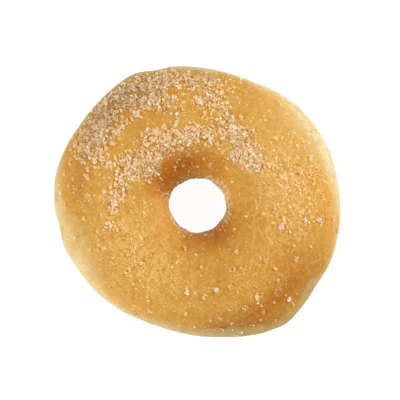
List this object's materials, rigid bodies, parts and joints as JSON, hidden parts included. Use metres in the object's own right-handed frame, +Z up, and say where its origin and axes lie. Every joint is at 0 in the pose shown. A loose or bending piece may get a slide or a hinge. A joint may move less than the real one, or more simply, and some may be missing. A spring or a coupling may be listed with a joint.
{
  "type": "sugared mini ring doughnut",
  "caption": "Small uneven fried dough ring with a browned crust, a pale band round its widest line and granulated sugar stuck to it, lying flat.",
  "frame": {"origin": "on the table under the middle of the ring's outline, at the flat underside", "axes": "+Z up out of the table, along the hole, towards the browned and most sugared side; +X to the picture's right, +Y to the picture's top"},
  "size_m": [0.0619, 0.059, 0.0221],
  "materials": {
    "crust": "satin, golden brown fried crust with a pale cream band",
    "sugar": "granulated sugar crystals, cream where dry and amber where half dissolved"
  },
  "bodies": {
    "root": {"doughnut": "crust"}
  },
  "joints": []
}
